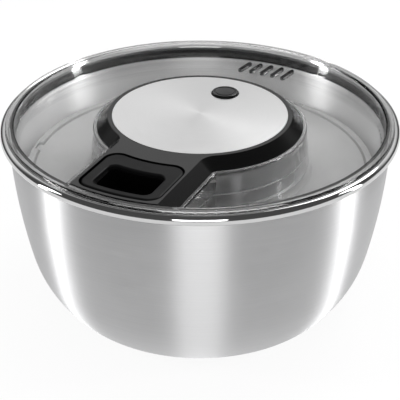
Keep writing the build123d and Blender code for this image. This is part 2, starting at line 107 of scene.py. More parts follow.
# Button and its spring, in millimetres; the button stands at an angle behind the disc's middle
BUTTON_TURN = radians(176.0)
BUTTON_OUT = 36.0
BUTTON_AT = (BUTTON_OUT * sin(BUTTON_TURN), -BUTTON_OUT * cos(BUTTON_TURN))
BUTTON_RING = 6.9
BUTTON_R = 9.3
BUTTON_BORE = 7.8
BUTTON_TOP = 133.67
BUTTON_ROOF = 131.81
BUTTON_LOW = 125.77
BUTTON_ROUND = 1.12
BUTTON_DISH = 0.3
GROOVE_HALF = 0.6
GROOVE_DEEP = 0.5
COIL_R = 6.1
COIL_WIRE = 0.45
COIL_TURNS = 4.0
COIL_LOW = 121.57
COIL_HIGH = 131.31
COIL_STEPS = 240

# Sides of a turned bowl, a turned button, the pulled cord and the thinner tubes
BOWL_SIDES, BUTTON_SIDES, CORD_SIDES, TUBE_SIDES = 256, 96, 20, 14

# Camera
VIEW_TURN = 25.0
VIEW_RISE = 30.35
VIEW_REACH = 0.7484
VIEW_HEIGHT = 0.0645
VIEW_LENS = 95.98
VIEW_SENSOR = 36.0
toward = np.array([sin(radians(VIEW_TURN)), -cos(radians(VIEW_TURN)), 0.0])
rightward = np.array([cos(radians(VIEW_TURN)), sin(radians(VIEW_TURN)), 0.0])


def spot(turn, rise, reach, height=VIEW_HEIGHT):
    """Point at a turn to the camera's right, a rise above the horizon and a distance from the middle."""
    flat = toward * cos(radians(turn)) + rightward * sin(radians(turn))
    return flat * cos(radians(rise)) * reach + np.array([0, 0, height + sin(radians(rise)) * reach])


def aim(thing, target):
    """Turns a camera or lamp so that it looks at the target with its top upwards."""
    way = Vector(target) - thing.location
    thing.rotation_euler = way.to_track_quat("-Z", "Y").to_euler()


camera_data = bpy.data.cameras.new("photo_camera")
camera_data.lens = VIEW_LENS
camera_data.sensor_width = VIEW_SENSOR
camera_data.clip_start = 0.01
camera = bpy.data.objects.new("photo_camera", camera_data)
bpy.context.scene.collection.objects.link(camera)
camera.location = spot(0, VIEW_RISE, VIEW_REACH)
aim(camera, (0, 0, VIEW_HEIGHT))
bpy.context.scene.camera = camera
bpy.context.scene.view_settings.view_transform = "Standard"


# Node graph helper
class Graph:
    """Short calls for the nodes of one material or group."""

    def __init__(self, tree):
        self.tree = tree

    def node(self, kind, **settings):
        made = self.tree.nodes.new(kind)
        for key, value in settings.items():
            setattr(made, key, value)
        return made

    def put(self, socket, value):
        if isinstance(value, bpy.types.NodeSocket):
            self.tree.links.new(value, socket)
        elif value is not None:
            socket.default_value = value

    def math(self, operation, a, b=None, clamp=False):
        n = self.node("ShaderNodeMath", operation=operation, use_clamp=clamp)
        self.put(n.inputs[0], a)
        self.put(n.inputs[1], b)
        return n.outputs[0]

    def span(self, value, low, high, to_low=0.0, to_high=1.0, smooth=True):
        kind = "SMOOTHSTEP" if smooth else "LINEAR"
        n = self.node("ShaderNodeMapRange", interpolation_type=kind, clamp=True)
        for i, v in enumerate((value, low, high, to_low, to_high)):
            self.put(n.inputs[i], v)
        return n.outputs[0]

    def noise(self, vector, scale, detail=3.0, rough=0.55):
        n = self.node("ShaderNodeTexNoise", noise_dimensions="3D")
        self.put(n.inputs["Vector"], vector)
        self.put(n.inputs["Scale"], scale)
        self.put(n.inputs["Detail"], detail)
        self.put(n.inputs["Roughness"], rough)
        return n.outputs["Fac"]

    def split(self, vector):
        n = self.node("ShaderNodeSeparateXYZ")
        self.put(n.inputs[0], vector)
        return n.outputs

    def join(self, x, y, z):
        n = self.node("ShaderNodeCombineXYZ")
        for i, v in enumerate((x, y, z)):
            self.put(n.inputs[i], v)
        return n.outputs[0]

    def colour_mix(self, factor, a, b, kind="MIX"):
        n = self.node("ShaderNodeMix", data_type="RGBA", blend_type=kind, clamp_factor=True)
        self.put(n.inputs[0], factor)
        self.put(n.inputs[6], a)
        self.put(n.inputs[7], b)
        return n.outputs[2]

    def blend(self, factor, a, b):
        n = self.node("ShaderNodeMix", data_type="FLOAT", clamp_factor=True)
        self.put(n.inputs[0], factor)
        self.put(n.inputs[2], a)
        self.put(n.inputs[3], b)
        return n.outputs[0]

    def bump(self, height, distance, strength=1.0):
        n = self.node("ShaderNodeBump")
        n.inputs["Distance"].default_value = distance
        n.inputs["Strength"].default_value = strength
        self.put(n.inputs["Height"], height)
        return n.outputs["Normal"]

    def use(self, group, **values):
        n = self.node("ShaderNodeGroup", node_tree=group)
        for key, value in values.items():
            self.put(n.inputs[key.replace("_", " ")], value)
        return n.outputs


def new_group(name, inputs, outputs):
    """Empty shader group with named sockets; returns the group, its graph, its inputs and its outputs."""
    group = bpy.data.node_groups.new(name, "ShaderNodeTree")
    for label, kind, value in inputs:
        s = group.interface.new_socket(label, in_out="INPUT", socket_type=kind)
        if value is not None:
            s.default_value = value
    for label, kind in outputs:
        group.interface.new_socket(label, in_out="OUTPUT", socket_type=kind)
    g = Graph(group)
    return group, g, g.node("NodeGroupInput").outputs, g.node("NodeGroupOutput").inputs


VALUE, VECTOR = "NodeSocketFloat", "NodeSocketVector"

# Brushing: fine lines that run round the upright axis, told apart by the distance across them
brushing, g, i, o = new_group(
    "brushing",
    [("Vector", VECTOR, None), ("Across", VALUE, 0.0), ("Lines", VALUE, 4000.0), ("Reach", VALUE, 2.0)],
    [("Fine", VALUE), ("Broad", VALUE)],
)
x, y, z = g.split(i["Vector"])
angle = g.math("ARCTAN2", y, x)
ring_x = g.math("MULTIPLY", g.math("COSINE", angle), i["Reach"])
ring_y = g.math("MULTIPLY", g.math("SINE", angle), i["Reach"])
fine_at = g.join(ring_x, ring_y, g.math("MULTIPLY", i["Across"], i["Lines"]))
broad_at = g.join(ring_x, ring_y, g.math("MULTIPLY", g.math("MULTIPLY", i["Across"], i["Lines"]), 0.12))
g.put(o["Fine"], g.noise(fine_at, 1.0, 2.0, 0.6))
g.put(o["Broad"], g.noise(broad_at, 1.0, 2.0, 0.5))

# Handling: soft patches from wiping and fingers
handling, g, i, o = new_group(
    "handling", [("Vector", VECTOR, None), ("Scale", VALUE, 30.0)], [("Patches", VALUE), ("Specks", VALUE)]
)
warp = g.noise(i["Vector"], i["Scale"], 4.0, 0.6)
g.put(o["Patches"], g.span(warp, 0.42, 0.68))
g.put(o["Specks"], g.span(g.noise(i["Vector"], g.math("MULTIPLY", i["Scale"], 22.0), 2.0, 0.5), 0.66, 0.78))

# Scratches: short fine lines in two directions
scratches, g, i, o = new_group(
    "scratches", [("Vector", VECTOR, None), ("Scale", VALUE, 120.0)], [("Lines", VALUE)]
)
x, y, z = g.split(i["Vector"])
one = g.noise(g.join(g.math("MULTIPLY", x, 14.0), y, z), i["Scale"], 2.0, 0.5)
two = g.noise(g.join(x, g.math("MULTIPLY", y, 11.0), g.math("MULTIPLY", z, 3.0)), i["Scale"], 2.0, 0.5)
g.put(o["Lines"], g.math("MAXIMUM", g.span(one, 0.68, 0.74), g.span(two, 0.69, 0.75)))

# Moulded skin: the fine spark grain of a moulded plastic face
moulded, g, i, o = new_group(
    "moulded", [("Vector", VECTOR, None), ("Scale", VALUE, 2600.0)], [("Height", VALUE), ("Cloud", VALUE)]
)
g.put(o["Height"], g.noise(i["Vector"], i["Scale"], 2.0, 0.6))
g.put(o["Cloud"], g.noise(i["Vector"], g.math("MULTIPLY", i["Scale"], 0.02), 3.0, 0.55))


def new_material(name):
    """Empty material with one Principled shader; returns it, its graph, the shader and Object coordinates."""
    m = bpy.data.materials.new(name)
    m.use_nodes = True
    m.node_tree.nodes.clear()
    g = Graph(m.node_tree)
    out = g.node("ShaderNodeOutputMaterial")
    shader = g.node("ShaderNodeBsdfPrincipled")
    m.node_tree.links.new(shader.outputs[0], out.inputs[0])
    return m, g, shader, g.node("ShaderNodeTexCoord").outputs["Object"]


def tint(colour, by):
    """Colour with its brightness multiplied."""
    return (colour[0] * by, colour[1] * by, colour[2] * by, 1.0)


# Materials
BOWL_TONE = (0.645, 0.645, 0.65)
DISC_TONE = (0.91, 0.91, 0.91)


def bowl_finish():
    """Brushed steel with lines round the wall, a lining painted paler as painted light, a neck painted dark as
    painted shade, and a polished rim.
    """
    m, g, shader, at = new_material("bowl_brushed_steel")
    x, y, z = g.split(at)
    radius = g.math("SQRT", g.math("ADD", g.math("MULTIPLY", x, x), g.math("MULTIPLY", y, y)))
    across = g.math("ADD", z, g.math("MULTIPLY", radius, 0.35))
    lines = g.use(brushing, Vector=at, Across=across, Lines=5200.0, Reach=3.5)
    marks = g.use(handling, Vector=at, Scale=22.0)
    side = g.node("ShaderNodeUVMap").outputs[0]
    polish = g.span(g.split(side)[1], 0.5, 0.52)
    shade = g.colour_mix(lines["Fine"], tint(BOWL_TONE, 0.93), tint(BOWL_TONE, 1.07))
    # Painted light: the inner lining gets a paler colour than the outer steel, standing in for light that falls
    # into the bowl; the same zone mask also makes it rougher.
    lining_painted_light_and_rough = g.span(g.split(side)[1], 0.45, 0.35)
    lining_painted_light_and_rough = g.math("MULTIPLY", lining_painted_light_and_rough, g.span(g.split(side)[1], 0.25, 0.35))
    shade = g.colour_mix(lining_painted_light_and_rough, shade, (0.90, 0.90, 0.90, 1))
    # Painted shade: the polished neck inside the rim is coloured dark, rising to the roll's paler steel,
    # standing in for the dark band the neck shows.
    neck_painted_shade = g.span(g.split(side)[1], 0.65, 0.85, 0.14, 0.60)
    shade = g.colour_mix(polish, shade, g.join(neck_painted_shade, neck_painted_shade, neck_painted_shade))
    g.put(shader.inputs["Base Color"], shade)
    shader.inputs["Metallic"].default_value = 1.0
    satin = g.math("ADD", g.blend(lines["Broad"], 0.39, 0.45), g.math("MULTIPLY", marks["Patches"], 0.02))
    mirror = g.math("ADD", 0.07, g.math("MULTIPLY", marks["Patches"], 0.03))
    satin = g.math("ADD", satin, g.math("MULTIPLY", lining_painted_light_and_rough, 0.16))
    g.put(shader.inputs["Roughness"], g.blend(polish, satin, mirror))
    shader.inputs["Anisotropic"].default_value = 1.0
    shader.inputs["Anisotropic Rotation"].default_value = 0.25
    g.put(shader.inputs["Tangent"], g.node("ShaderNodeTangent", direction_type="RADIAL", axis="Z").outputs[0])
    height = g.math("MULTIPLY", lines["Fine"], g.math("SUBTRACT", 1.0, polish))
    g.put(shader.inputs["Normal"], g.bump(height, 0.000012))
    return m


def disc_finish():
    """Steel brushed in circles about the middle."""
    m, g, shader, at = new_material("disc_circle_brushed_steel")
    x, y, z = g.split(at)
    radius = g.math("SQRT", g.math("ADD", g.math("MULTIPLY", x, x), g.math("MULTIPLY", y, y)))
    lines = g.use(brushing, Vector=at, Across=radius, Lines=5200.0, Reach=3.0)
    marks = g.use(handling, Vector=at, Scale=40.0)
    shade = g.colour_mix(lines["Fine"], tint(DISC_TONE, 0.95), tint(DISC_TONE, 1.05))
    g.put(shader.inputs["Base Color"], shade)
    shader.inputs["Metallic"].default_value = 1.0
    rough = g.math("ADD", g.blend(lines["Broad"], 0.26, 0.34), g.math("MULTIPLY", marks["Patches"], 0.03))
    g.put(shader.inputs["Roughness"], rough)
    shader.inputs["Anisotropic"].default_value = 0.5
    shader.inputs["Anisotropic Rotation"].default_value = 0.25
    g.put(shader.inputs["Tangent"], g.node("ShaderNodeTangent", direction_type="RADIAL", axis="Z").outputs[0])
    g.put(shader.inputs["Normal"], g.bump(lines["Fine"], 0.00001))
    return m


def machined(name, colour, rough, lines_scale):
    """Turned or drawn metal of a small part, with fine lines round the axis and a few scratches."""
    m, g, shader, at = new_material(name)
    z = g.split(at)[2]
    lines = g.use(brushing, Vector=at, Across=z, Lines=lines_scale, Reach=1.2)
    scuff = g.use(scratches, Vector=at, Scale=260.0)
    shade = g.colour_mix(lines["Fine"], tint(colour, 0.9), tint(colour, 1.06))
    worn = g.math("MULTIPLY", scuff["Lines"], 0.3)
    g.put(shader.inputs["Base Color"], g.colour_mix(worn, shade, tint(colour, 1.2)))
    shader.inputs["Metallic"].default_value = 1.0
    g.put(shader.inputs["Roughness"], g.blend(lines["Broad"], rough * 0.8, rough * 1.25))
    g.put(shader.inputs["Normal"], g.bump(lines["Fine"], 0.000008))
    return m


def plastic(name, colour, rough, grain=2600.0, depth=0.000012, wear=0.25, gloss=0.5):
    """Moulded plastic: spark grain, cloudy shade, wiped patches in the gloss and fine scratches."""
    m, g, shader, at = new_material(name)
    skin = g.use(moulded, Vector=at, Scale=grain)
    marks = g.use(handling, Vector=at, Scale=45.0)
    scuff = g.use(scratches, Vector=at, Scale=150.0)
    shade = g.colour_mix(skin["Cloud"], tint(colour, 0.88), tint(colour, 1.12))
    worn = g.math("MULTIPLY", scuff["Lines"], wear * 0.35)
    dusty = g.math("MULTIPLY", marks["Specks"], wear * 0.12)
    lift = tuple(min(1.0, c * 1.5 + 0.004) for c in colour) + (1.0,)
    g.put(shader.inputs["Base Color"], g.colour_mix(g.math("MAXIMUM", worn, dusty), shade, lift))
    smear = g.blend(marks["Patches"], rough * 0.92, rough * 1.12)
    g.put(shader.inputs["Roughness"], g.math("ADD", smear, g.math("MULTIPLY", scuff["Lines"], wear * 0.1)))
    shader.inputs["Specular IOR Level"].default_value = gloss
    g.put(shader.inputs["Normal"], g.bump(skin["Height"], depth))
    return m


def button_finish():
    """Black button with a glossy rim and a grained, lighter middle."""
    m, g, shader, at = new_material("button_black")
    skin = g.use(moulded, Vector=at, Scale=1900.0)
    marks = g.use(handling, Vector=at, Scale=120.0)
    x, y, z = g.split(at)
    off_x = g.math("SUBTRACT", x, BUTTON_AT[0] * MM)
    off_y = g.math("SUBTRACT", y, BUTTON_AT[1] * MM)
    radius = g.math("SQRT", g.math("ADD", g.math("MULTIPLY", off_x, off_x), g.math("MULTIPLY", off_y, off_y)))
    middle = g.span(radius, BUTTON_RING * MM, (BUTTON_RING - 0.4) * MM)
    shade = g.colour_mix(middle, (0.003, 0.003, 0.0032, 1), (0.02, 0.02, 0.021, 1))
    dusty = g.math("MULTIPLY", marks["Specks"], 0.1)
    g.put(shader.inputs["Base Color"], g.colour_mix(dusty, shade, (0.03, 0.03, 0.03, 1)))
    smear = g.math("MULTIPLY", marks["Patches"], 0.05)
    g.put(shader.inputs["Roughness"], g.math("ADD", g.blend(middle, 0.16, 0.34), smear))
    g.put(shader.inputs["Normal"], g.bump(g.math("MULTIPLY", skin["Height"], middle), 0.000015))
    return m


def clear_finish():
    """Clear moulded plastic that lets lamps through, with a faint haze of wiped patches and fine scratches;
    the bore of the housing wall is frosted and painted shade darkens the cut edges of the drain slots."""
    m, g, shader, at = new_material("lid_clear_plastic")
    marks = g.use(handling, Vector=at, Scale=26.0)
    scuff = g.use(scratches, Vector=at, Scale=90.0)
    shade = g.colour_mix(marks["Patches"], (0.955, 0.955, 0.955, 1), (0.935, 0.935, 0.935, 1))
    shader.inputs["Transmission Weight"].default_value = 1.0
    shader.inputs["IOR"].default_value = 1.49
    haze = g.math("ADD", g.math("MULTIPLY", marks["Patches"], 0.02), g.math("MULTIPLY", scuff["Lines"], 0.05))
    x, y, z = g.split(at)
    radius = g.math("SQRT", g.math("ADD", g.math("MULTIPLY", x, x), g.math("MULTIPLY", y, y)))
    frost = g.span(radius, CUP_BORE + 0.0004, CUP_BORE + 0.0002)
    frosted = g.blend(marks["Patches"], 0.5, 0.58)
    g.put(shader.inputs["Roughness"], g.blend(frost, g.math("ADD", haze, 0.015), frosted))
    along = g.math("ADD", g.math("MULTIPLY", x, cos(SLOT_WAY)), g.math("MULTIPLY", y, sin(SLOT_WAY)))
    aside = g.math("SUBTRACT", g.math("MULTIPLY", y, cos(SLOT_WAY)), g.math("MULTIPLY", x, sin(SLOT_WAY)))
    swing = g.math("ARCSINE", g.math("DIVIDE", aside, SLOT_RING))
    step = g.math("DIVIDE", g.math("SUBTRACT", swing, SLOT_FIRST), SLOT_PITCH)
    nearest = g.math("MINIMUM", g.math("MAXIMUM", g.math("ROUND", step), 0.0), SLOT_COUNT - 1.0)
    turn = g.math("ADD", g.math("MULTIPLY", nearest, SLOT_PITCH), SLOT_FIRST)
    slot_side = g.math("MULTIPLY", g.math("SINE", turn), SLOT_RING)
    off_side = g.math("ABSOLUTE", g.math("SUBTRACT", aside, slot_side))
    off_end = g.math("SUBTRACT", along, g.math("MULTIPLY", g.math("COSINE", turn), SLOT_RING))
    off_end = g.math("MAXIMUM", g.math("SUBTRACT", g.math("ABSOLUTE", off_end), SLOT_STRAIGHT), 0.0)
    squares = g.math("ADD", g.math("MULTIPLY", off_side, off_side), g.math("MULTIPLY", off_end, off_end))
    # Painted shade: a dark outline round each drain slot, standing in for the dark lines its cut edges show.
    slot_edge_painted_shade = g.span(g.math("SQRT", squares), SLOT_HALF + 0.0007, SLOT_HALF + 0.0003)
    shade = g.colour_mix(slot_edge_painted_shade, shade, (0.004, 0.004, 0.004, 1))
    g.put(shader.inputs["Base Color"], shade)
    wave = g.noise(at, 18.0, 1.0, 0.4)
    g.put(shader.inputs["Normal"], g.bump(wave, 0.0001, 0.4))
    through = g.node("ShaderNodeBsdfTransparent")
    through.inputs["Color"].default_value = (0.93, 0.93, 0.93, 1)
    both = g.node("ShaderNodeMixShader")
    path = g.node("ShaderNodeLightPath")
    m.node_tree.links.new(path.outputs["Is Shadow Ray"], both.inputs[0])
    m.node_tree.links.new(shader.outputs[0], both.inputs[1])
    m.node_tree.links.new(through.outputs[0], both.inputs[2])
    out = [n for n in m.node_tree.nodes if n.type == "OUTPUT_MATERIAL"][0]
    m.node_tree.links.new(both.outputs[0], out.inputs[0])
    return m


def cord_finish():
    """Braided cord: two families of strands cross on the piece's own map, u round the cord and v along it."""
    m, g, shader, at = new_material("cord_braid")
    u, v, w = g.split(g.node("ShaderNodeUVMap").outputs[0])
    turn = g.math("MULTIPLY", u, 8 * pi)
    run = g.math("MULTIPLY", v, 2 * pi)
    left = g.math("SINE", g.math("ADD", turn, run))
    right = g.math("SINE", g.math("SUBTRACT", turn, run))
    # Painted shade: the colour goes dark in the hollows where neither family of strands lies on top, following
    # the same mask as the bump.
    over = g.span(g.math("MAXIMUM", left, right), -0.2, 1.0)
    fibre = g.noise(at, 9000.0, 2.0, 0.6)
    shade = g.colour_mix(over, (0.20, 0.20, 0.205, 1), (0.62, 0.62, 0.60, 1))
    fuzz = g.math("MULTIPLY", fibre, 0.3)
    g.put(shader.inputs["Base Color"], g.colour_mix(fuzz, shade, (0.75, 0.74, 0.72, 1)))
    g.put(shader.inputs["Roughness"], g.blend(fibre, 0.62, 0.85))
    shader.inputs["Sheen Weight"].default_value = 0.25
    g.put(shader.inputs["Normal"], g.bump(g.math("ADD", over, g.math("MULTIPLY", fibre, 0.2)), 0.00006))
    return m


def rubber_finish():
    """Matt black rubber with a fine grain."""
    m, g, shader, at = new_material("pad_rubber")
    skin = g.use(moulded, Vector=at, Scale=1800.0)
    shade = g.colour_mix(skin["Cloud"], (0.016, 0.016, 0.017, 1), (0.03, 0.03, 0.031, 1))
    g.put(shader.inputs["Base Color"], shade)
    g.put(shader.inputs["Roughness"], g.blend(skin["Height"], 0.75, 0.92))
    g.put(shader.inputs["Normal"], g.bump(skin["Height"], 0.00004))
    return m


bowl_steel = bowl_finish()
disc_steel = disc_finish()
bright_steel = machined("pin_bright_steel", (0.62, 0.62, 0.63), 0.22, 5000.0)
spring_steel = machined("spring_blue_steel", (0.42, 0.43, 0.46), 0.3, 7000.0)
clear_plastic = clear_finish()
cord_braid = cord_finish()
pad_rubber = rubber_finish()
cover_black = plastic("cover_satin_black", (0.003, 0.003, 0.0031), 0.2, 2400.0, 0.000008, 0.2, 0.42)
grip_grey = plastic("grip_dark_grey", (0.007, 0.007, 0.0073), 0.34, 2200.0, 0.000012, 0.25, 0.14)
pocket_black = plastic("pocket_gloss_black", (0.002, 0.002, 0.0021), 0.14, 1500.0, 0.000004, 0.15, 0.4)
button_black = button_finish()
well_black = plastic("tub_black", (0.004, 0.004, 0.004), 0.3, 2200.0, 0.00002, 0.15)
housing_grey = plastic("housing_grey", (0.22, 0.22, 0.223), 0.42, 2200.0, 0.00002, 0.2)
drum_white = plastic("drum_white", (0.72, 0.72, 0.71), 0.38, 2000.0, 0.000015, 0.2)
plate_frosted = plastic("plate_frosted", (0.36, 0.36, 0.36), 0.5, 1600.0, 0.00003, 0.15)
basket_plastic = plastic("basket_pale_plastic", (0.36, 0.36, 0.36), 0.4, 2000.0, 0.00002, 0.2)

FINISH = {
    "bowl": bowl_steel,
    "bowl_pivot": bright_steel,
    "lid": clear_plastic,
    "top_cover": cover_black,
    "cover_disc": disc_steel,
    "grip_well": well_black,
    "cord_eyelet": bright_steel,
    "grip_frame": grip_grey,
    "grip_pocket": pocket_black,
    "cord_drum": drum_white,
    "recoil_spring": spring_steel,
    "spring_case": housing_grey,
    "pawl_1": bright_steel,
    "pawl_2": bright_steel,
    "drive_hub": drum_white,
    "axle": bright_steel,
    "axle_clip": spring_steel,
    "drive_plate": plate_frosted,
    "plate_screws": bright_steel,
    "housing_base": housing_grey,
    "housing_screws": bright_steel,
    "stop_button": button_black,
    "brake_plunger": drum_white,
    "brake_pad": pad_rubber,
    "button_spring": spring_steel,
    "basket": basket_plastic,
    "basket_bush": drum_white,
}
for name, finish in FINISH.items():
    slots = nodes[name].data.materials
    slots.clear()
    slots.append(finish)


# Surfaces
def grid_piece(name, points, finish, body, round_u=False, round_v=False, uv=None):
    """Mesh from a grid of points with rows u and columns v. A closed direction joins its last line to its
    first, and lines that shrink to one point are merged, so poles close."""
    rows, cols = points.shape[:2]
    if uv is None:
        uu, vv = np.meshgrid(np.linspace(0, 1, rows), np.linspace(0, 1, cols), indexing="ij")
        uv = np.stack([uu, vv], axis=-1)
    if round_u:
        points = np.concatenate([points, points[:1]], axis=0)
        uv = np.concatenate([uv, uv[-1:] + (uv[-1:] - uv[-2:-1])], axis=0)
    if round_v:
        points = np.concatenate([points, points[:, :1]], axis=1)
        uv = np.concatenate([uv, uv[:, -1:] + (uv[:, -1:] - uv[:, -2:-1])], axis=1)
    rows, cols = points.shape[:2]
    index = np.arange(rows * cols).reshape(rows, cols)
    quads = np.stack([index[:-1, :-1], index[1:, :-1], index[1:, 1:], index[:-1, 1:]], axis=-1).reshape(-1, 4)
    mesh = bpy.data.meshes.new(name)
    mesh.from_pydata((points.reshape(-1, 3) * MM).tolist(), [], quads.tolist())
    layer = mesh.uv_layers.new(name="map")
    layer.data.foreach_set("uv", uv.reshape(-1, 2)[quads.reshape(-1)].astype(np.float32).ravel())
    tidy = bmesh.new()
    tidy.from_mesh(mesh)
    bmesh.ops.remove_doubles(tidy, verts=tidy.verts, dist=1e-7)
    bmesh.ops.dissolve_degenerate(tidy, edges=tidy.edges, dist=1e-8)
    bmesh.ops.recalc_face_normals(tidy, faces=tidy.faces)
    tidy.to_mesh(mesh)
    tidy.free()
    mesh.shade_smooth()
    mesh.set_sharp_from_angle(angle=SMOOTH_ANGLE)
    mesh.materials.append(finish)
    piece = bpy.data.objects.new(name, mesh)
    bpy.context.scene.collection.objects.link(piece)
    if body:
        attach(piece, body)
    return piece


def arc_run(start, heading, radius, turn, count):
    """Arc from a start point with a heading angle: the centre is a radius to the left for a positive turn,
    and the points step evenly along the angle. Returns the points, the last point and the last heading."""
    side = 1.0 if turn > 0 else -1.0
    centre = np.array(start) + side * radius * np.array([-sin(heading), cos(heading)])
    steps = heading + radians(turn) * np.linspace(0, 1, count)
    points = centre + side * radius * np.stack([np.sin(steps), -np.cos(steps)], axis=-1)
    return points, points[-1], heading + radians(turn)


def turned_piece(name, profile, finish, body, sides, uv_v=None, middle=(0.0, 0.0)):
    """Profile of radius and height carried round an upright axis through a middle point: x and y are the
    middle plus r cos a and r sin a, and z = h."""
    a = np.linspace(0, 2 * pi, sides, endpoint=False)
    r, h = profile[:, 0], profile[:, 1]
    points = np.stack(
        [
            middle[0] + np.cos(a)[:, None] * r,
            middle[1] + np.sin(a)[:, None] * r,
            np.broadcast_to(h, (sides, len(h))),
        ],
        axis=-1,
    )
    v = np.linspace(0, 1, len(h)) if uv_v is None else uv_v
    round_share = np.broadcast_to((a / (2 * pi))[:, None], (sides, len(h)))
    uv = np.stack([round_share, np.broadcast_to(v, (sides, len(h)))], axis=-1)
    return grid_piece(name, points, finish, body, round_u=True, uv=uv)


# Bowl: the outer line from the axis to the rolled rim, and back along the inner line one steel thickness away
neck_out = RIM_R - STEEL - 2 * ROLL_IN
run_1 = FOOT[0] * sin(radians(FOOT[1]))
run_2 = SHOULDER[0] * (sin(radians(FOOT[1] + SHOULDER[1])) - sin(radians(FOOT[1])))
run_3 = WALL[0] * (1 - sin(radians(FOOT[1] + SHOULDER[1])))
base_r = neck_out - run_1 - run_2 - run_3


def bowl_line(offset, height):
    """Bowl profile moved inwards by an offset: base, foot arc, shoulder arc, wall arc and rim roll.
    Returns its points and the zone of each."""
    flat = np.stack([np.linspace(0, base_r, FLAT_STEPS), np.full(FLAT_STEPS, height)], axis=-1)
    foot, end, way = arc_run((base_r, height), 0.0, FOOT[0] - offset, FOOT[1], FOOT_STEPS)
    shoulder, end, way = arc_run(end, way, SHOULDER[0] - offset, SHOULDER[1], SHOULDER_STEPS)
    wall, end, way = arc_run(end, way, WALL[0] - offset, WALL[1], WALL_STEPS)
    roll, end, way = arc_run(end, way, ROLL_IN + offset, -ROLL_TURN, ROLL_STEPS)
    line = np.concatenate([flat, foot[1:], shoulder[1:], wall[1:], roll[1:]])
    satin = len(line) - len(roll)
    return line, np.where(np.arange(len(line)) < satin, SATIN, POLISHED)


outer_line, outer_map = bowl_line(0.0, 0.0)
inner_line, inner_map = bowl_line(STEEL, STEEL)
bowl_profile = np.concatenate([outer_line, inner_line[::-1]])
inner_map[inner_map == SATIN] = np.where(inner_line[inner_map == SATIN, 1] > NECK_FROM, NECK, LINING)
bowl_map = np.concatenate([outer_map, inner_map[::-1]])
bowl_piece = turned_piece(
    "bowl_shell", bowl_profile, bowl_steel, "bowl_body", BOWL_SIDES, bowl_map
)
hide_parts("bowl")

# Button cap: a dished face inside a round-bottomed ring groove, a rounded edge, and a hollow underside
face_r = BUTTON_RING - GROOVE_HALF
face = np.linspace(0, face_r, 12)
face_line = np.stack([face, BUTTON_TOP - BUTTON_DISH * (1 - (face / face_r) ** 2)], axis=-1)
sweep = np.linspace(0, pi, 15)
groove_line = np.stack(
    [BUTTON_RING - GROOVE_HALF * np.cos(sweep), BUTTON_TOP - GROOVE_DEEP * np.sin(sweep)], axis=-1
)
sweep = np.linspace(0, pi / 2, 12)
edge_line = np.stack(
    [BUTTON_R + BUTTON_ROUND * (np.sin(sweep) - 1), BUTTON_TOP + BUTTON_ROUND * (np.cos(sweep) - 1)], axis=-1
)
under_line = np.array(
    [(BUTTON_R, BUTTON_LOW), (BUTTON_BORE, BUTTON_LOW), (BUTTON_BORE, BUTTON_ROOF), (0.0, BUTTON_ROOF)]
)
cap_profile = np.concatenate([face_line[:-1], groove_line, edge_line, under_line])
button_cap = turned_piece(
    "button_cap", cap_profile, button_black, "button_body", BUTTON_SIDES, middle=BUTTON_AT
)
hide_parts("stop_button")


# Cord
def braided_tube(centres, side_1, side_2, radius, along, sides, swell=0.07):
    """Tube of circles about a line of centres, in the planes of two side directions. Its radius swells by a
    small share where one of two crossing families of strands lies on top. Returns points and map, u round and
    v along."""
    u = np.linspace(0, 1, sides, endpoint=False)
    left = np.sin(8 * pi * u[:, None] + 2 * pi * along[None, :])
    right = np.sin(8 * pi * u[:, None] - 2 * pi * along[None, :])
    thick = radius * (1 - swell + swell * np.maximum(left, right))
    ring = np.cos(2 * pi * u)[:, None, None] * side_1[None] + np.sin(2 * pi * u)[:, None, None] * side_2[None]
    points = centres[None] + thick[..., None] * ring
    u_map = np.broadcast_to(u[:, None], thick.shape)
    v_map = np.broadcast_to(along[None], thick.shape)
    return points, np.stack([u_map, v_map], axis=-1)


def unit(v):
    """Vectors brought to length one."""
    return v / np.linalg.norm(v, axis=-1, keepdims=True)


def closed_ends(points, uv, centres):
    """Tube points with its two end centres added as poles."""
    first = np.broadcast_to(centres[0], points[:, :1].shape)
    last = np.broadcast_to(centres[-1], points[:, -1:].shape)
    return np.concatenate([first, points, last], axis=1), np.concatenate([uv[:, :1], uv, uv[:, -1:]], axis=1)


def level_run(start, end, count):
    """Even points straight ahead through the eye, from one distance along y to another."""
    return np.stack([np.zeros(count), np.linspace(start, end, count), np.full(count, EYE_Z)], axis=-1)


# Pulled cord: from the drum to the eye, through it, a short stretch whose map runs the whole pull length, and
# into the knot
lead_turn = asin(sqrt(1 - (CORD_RING / EYE_START) ** 2))
drum_leave = np.array([CORD_RING * sin(lead_turn), -CORD_RING * cos(lead_turn), CORD_TOP])
eye_mouth = np.array([0.0, -EYE_START, EYE_Z])
lean = np.linspace(0, 1, LEAD_STEPS)
straight = drum_leave + (eye_mouth - drum_leave) * lean[:, None]
straight[:, 2] += -CORD_SAG * np.sin(pi * lean)
through_eye = level_run(-EYE_START - JOIN_GAP, -EYE_END, EYE_STEPS)
share = np.linspace(0, 1, STRETCH_STEPS)
ease = 0.5 - np.sin(np.arcsin(1 - 2 * share) / 3)
stretched = level_run(0.0, 0.0, STRETCH_STEPS)
stretched[:, 1] = -STRETCH_FROM - STRETCH * ease
into_knot = level_run(-STRETCH_FROM - STRETCH - JOIN_GAP, KNOT_Y, KNOT_STEPS)
lead = np.concatenate([straight, through_eye, stretched, into_knot])
stretch_first = LEAD_STEPS + EYE_STEPS
stretch_stop = stretch_first + STRETCH_STEPS
tilt = np.concatenate([np.zeros(LEAD_STEPS), np.linspace(0, 1, EYE_STEPS), np.ones(STRETCH_STEPS + KNOT_STEPS)])
forward = unit(np.gradient(lead, axis=0))
forward[LEAD_STEPS:] = np.array([0.0, -1.0, 0.0])
forward = unit(forward * (1 - tilt)[:, None] + PULL * tilt[:, None])
flat_side = unit(np.cross(forward, np.array([0.0, 0.0, 1.0])))
tall_side = np.cross(flat_side, forward)
